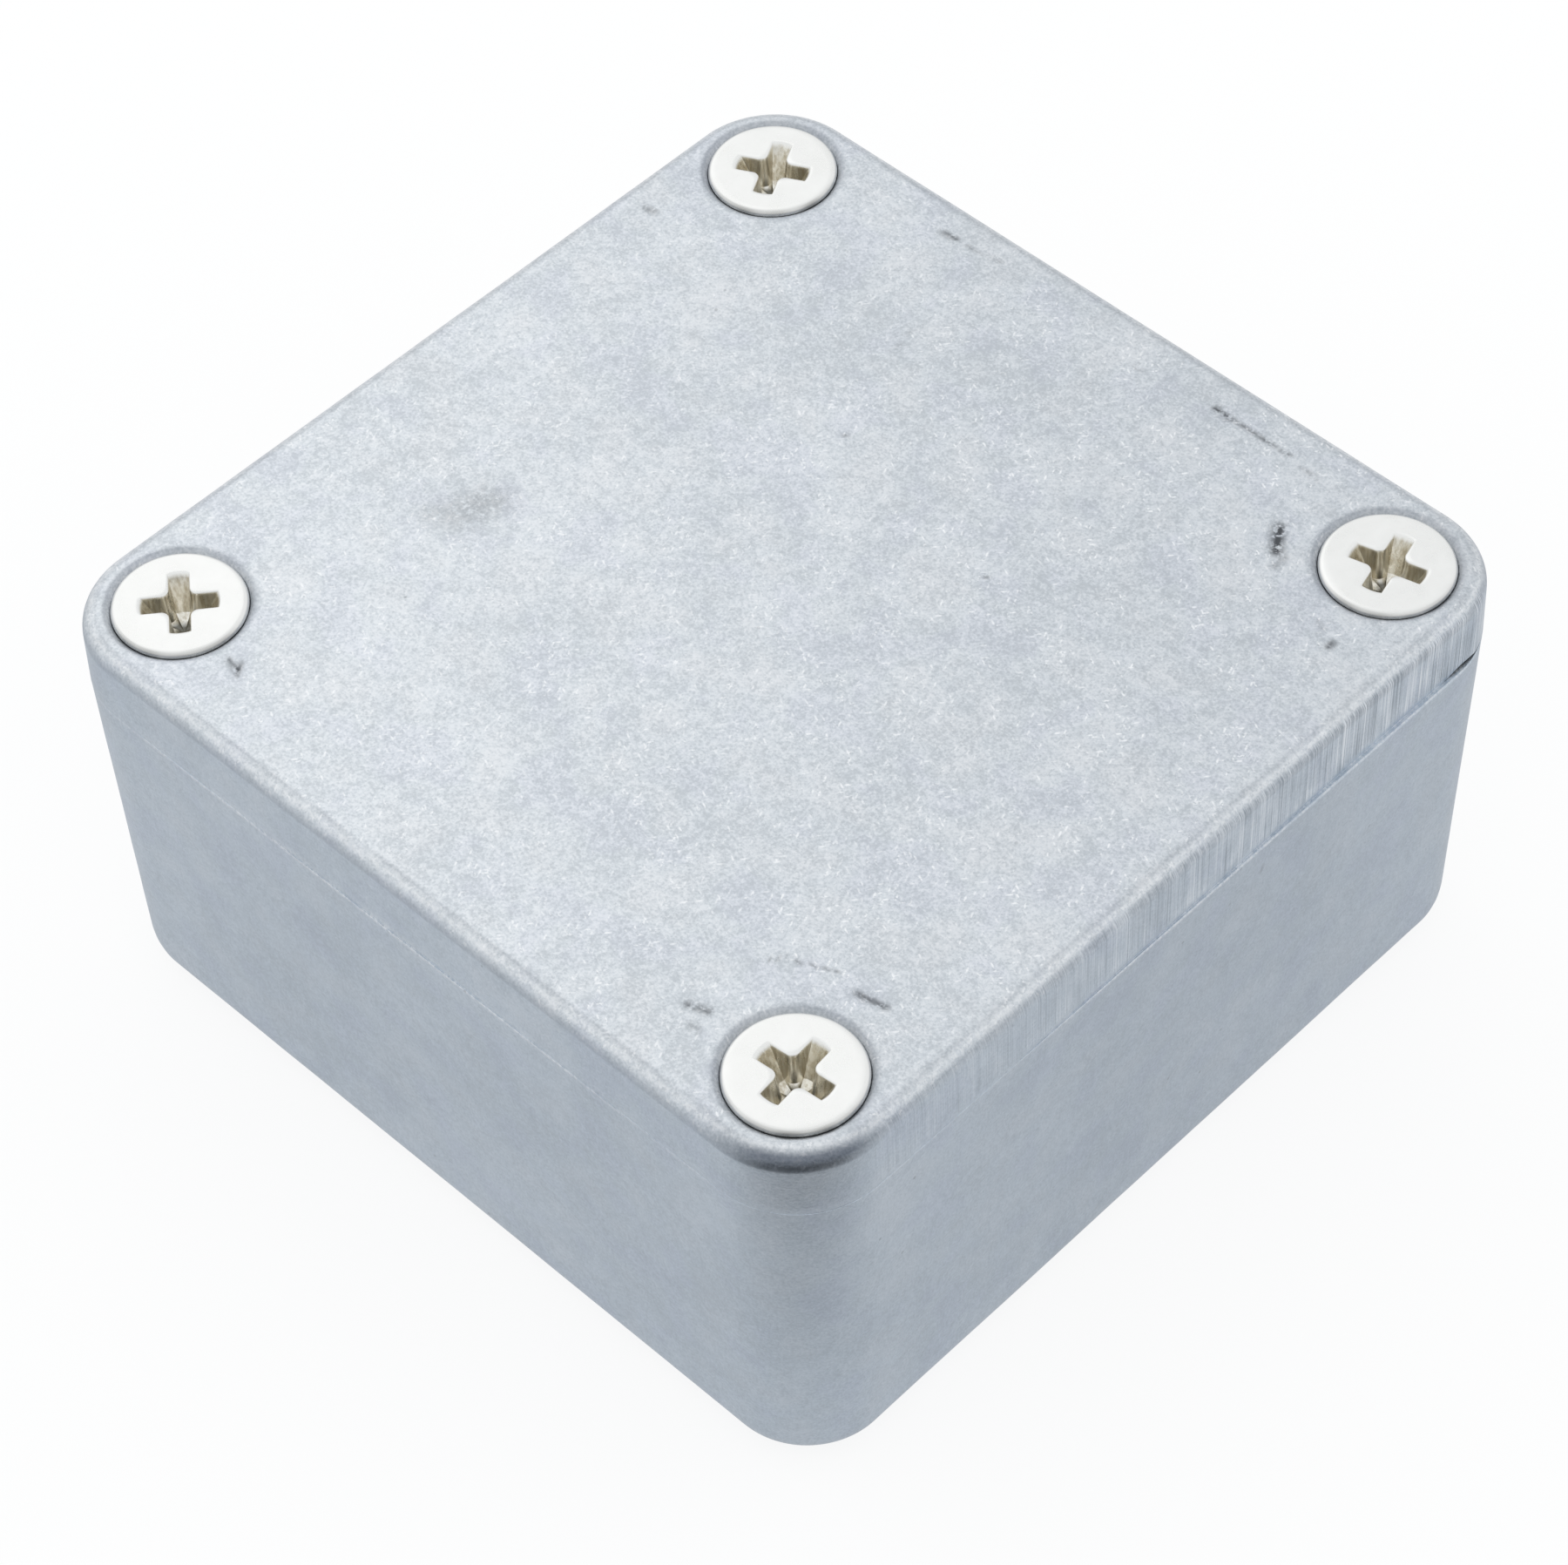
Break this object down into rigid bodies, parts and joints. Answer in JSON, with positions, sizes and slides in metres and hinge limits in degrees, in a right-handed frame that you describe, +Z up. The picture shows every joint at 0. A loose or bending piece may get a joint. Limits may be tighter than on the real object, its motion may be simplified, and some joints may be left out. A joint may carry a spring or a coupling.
{
  "type": "aluminium enclosure",
  "caption": "Small square die-cast box with drafted sides and a dished lid, held by a countersunk cross-recess screw in each corner, for housing a small circuit.",
  "frame": {"origin": "middle of the underside, at its lowest level", "axes": "+Z up through the lid, +X to the right and -Y to the front, along the square sides"},
  "size_m": [0.05, 0.05, 0.0251],
  "materials": {
    "box_casting": "tumbled bare die casting, satin grey with fine mottle and scuffs",
    "lid_casting": "tumbled bare die casting, satin, edges worn bright, fine machined marks on its side band",
    "screw_plating": "pale nickel plating, bright, darker in the recess"
  },
  "bodies": {
    "box": {"box": "box_casting"},
    "lid": {"lid": "lid_casting"},
    "screw_front_left": {"screw_front_left": "screw_plating"},
    "screw_front_right": {"screw_front_right": "screw_plating"},
    "screw_rear_left": {"screw_rear_left": "screw_plating"},
    "screw_rear_right": {"screw_rear_right": "screw_plating"}
  },
  "joints": [
    {"name": "lid_lift", "type": "slide", "parent": "box", "child": "lid", "axis": [0, 0, 1], "range_m": [0, 0.03]},
    {"name": "screw_front_left_out", "type": "slide", "parent": "lid", "child": "screw_front_left", "axis": [0, 0, 1], "range_m": [0, 0.015]},
    {"name": "screw_front_right_out", "type": "slide", "parent": "lid", "child": "screw_front_right", "axis": [0, 0, 1], "range_m": [0, 0.015]},
    {"name": "screw_rear_left_out", "type": "slide", "parent": "lid", "child": "screw_rear_left", "axis": [0, 0, 1], "range_m": [0, 0.015]},
    {"name": "screw_rear_right_out", "type": "slide", "parent": "lid", "child": "screw_rear_right", "axis": [0, 0, 1], "range_m": [0, 0.015]}
  ]
}
